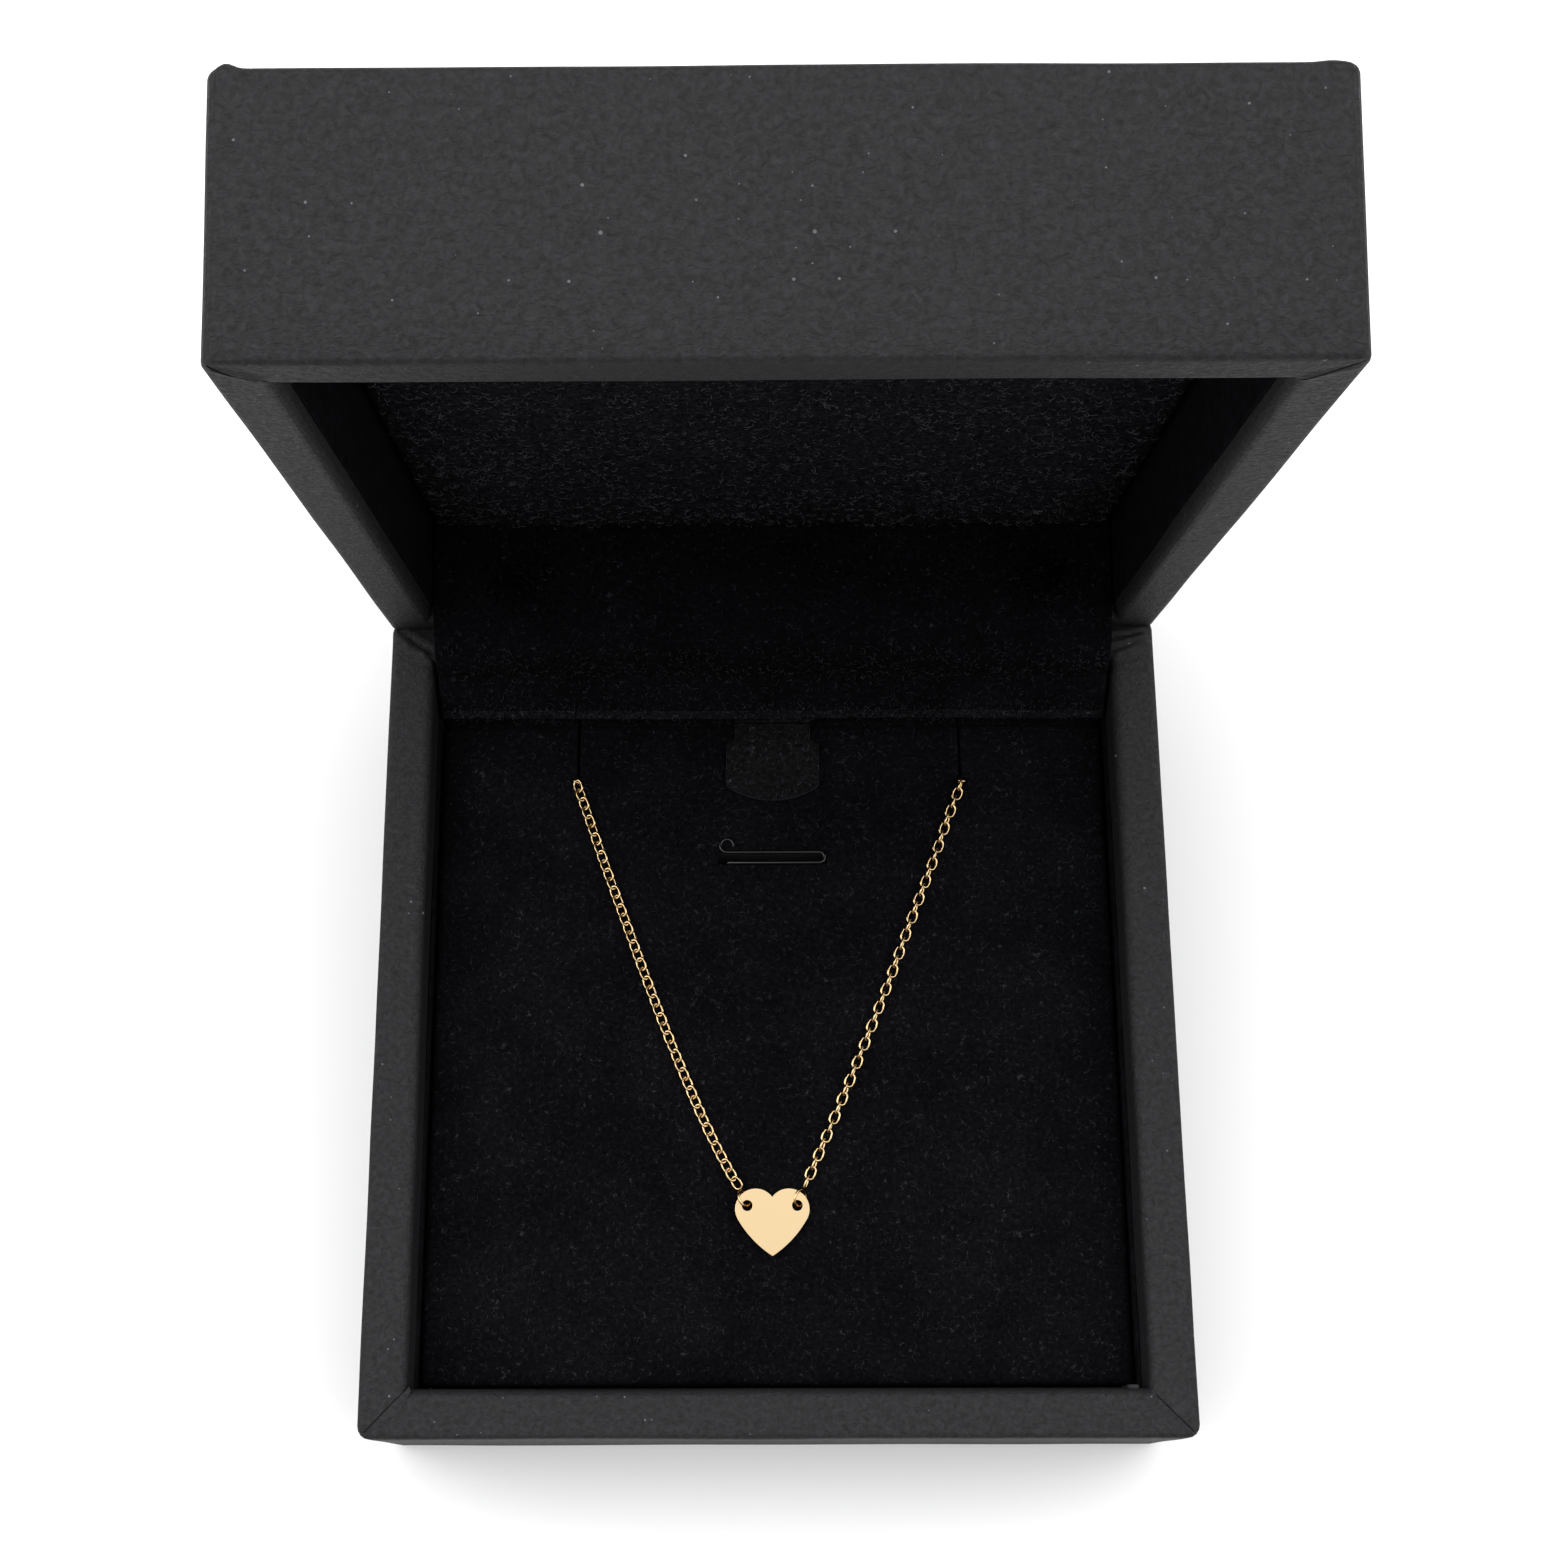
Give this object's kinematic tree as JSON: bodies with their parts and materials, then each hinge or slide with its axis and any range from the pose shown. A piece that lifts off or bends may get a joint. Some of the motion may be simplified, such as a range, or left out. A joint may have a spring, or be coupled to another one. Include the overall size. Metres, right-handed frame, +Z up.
{
  "type": "necklace presentation box",
  "caption": "Hinged presentation box wrapped in leatherette, open, with a lift-out velvet pad that holds a fine chain with a flat heart pendant.",
  "frame": {"origin": "middle of the base's underside, where it rests on the table", "axes": "+X to the right along the hinge, +Y from the front to the hinge, +Z up"},
  "size_m": [0.09, 0.1168, 0.1197],
  "materials": {
    "leatherette": "black leatherette, fine grain, satin",
    "backing_paper": "black flocked paper under the base",
    "wood_board": "unfinished light wood board",
    "velvet": "black velvet, short pile",
    "fleece": "black fleece cloth",
    "foam": "grey open-cell foam",
    "card": "grey board",
    "hinge_brass": "rolled brass strip",
    "steel": "bright steel",
    "keeper_black": "black lacquered wire",
    "gold": "polished gold plate on brass"
  },
  "bodies": {
    "base": {"floor_board": "wood_board", "base_front_board": "wood_board", "base_back_board": "wood_board", "base_left_board": "wood_board", "base_right_board": "wood_board", "base_wrap": "leatherette", "base_bottom_cover": "backing_paper", "base_lining": "velvet", "pad_riser": "card", "hinge_leaf_base": "hinge_brass", "hinge_pin": "steel", "hinge_nails_base": "steel", "snap_spring": "steel", "hinge_strip": "velvet"},
    "lid": {"lid_top_board": "wood_board", "lid_front_board": "wood_board", "lid_back_board": "wood_board", "lid_left_board": "wood_board", "lid_right_board": "wood_board", "lid_wrap": "leatherette", "lid_lining": "velvet", "hinge_leaf_lid": "hinge_brass", "hinge_nails_lid": "steel", "lid_pad_card": "card", "lid_pad_foam": "foam", "lid_pad_cover": "fleece"},
    "insert": {"pad_card": "card", "pad_foam": "foam", "pad_cover": "velvet", "tab_anchor": "velvet", "keeper_wire": "keeper_black", "chain_left": "gold", "chain_right": "gold", "clasp_ring": "gold", "clasp_end_ring": "gold"},
    "tab": {"pull_tab": "velvet"},
    "pendant": {"heart_pendant": "gold", "pendant_rings": "gold"},
    "trigger": {"clasp_trigger": "gold"}
  },
  "joints": [
    {"name": "lid_hinge", "type": "hinge", "parent": "base", "child": "lid", "pos_m": [0, 0.0458, 0.02415], "axis": [1, 0, 0], "range_deg": [0, 80], "deforming": ["hinge_strip", "snap_spring"]},
    {"name": "pad_lift", "type": "slide", "parent": "base", "child": "insert", "axis": [0, 0, 1], "range_m": [0, 0.007]},
    {"name": "tab_flap", "type": "hinge", "parent": "insert", "child": "tab", "pos_m": [0, 0.0356, 0.0194], "axis": [-1, 0, 0], "range_deg": [0, 45]},
    {"name": "pendant_swing", "type": "hinge", "parent": "insert", "child": "pendant", "pos_m": [-0.0004, -0.02003, 0.0194], "axis": [-1, 0, 0], "range_deg": [0, 60]},
    {"name": "clasp_trigger_slide", "type": "hinge", "parent": "insert", "child": "trigger", "pos_m": [0, 0.0136, 0.0043], "axis": [0, 0, 1], "range_deg": [0, 65], "stiffness_Nm_per_rad": 0.000002, "springref_deg": -11.46}
  ]
}
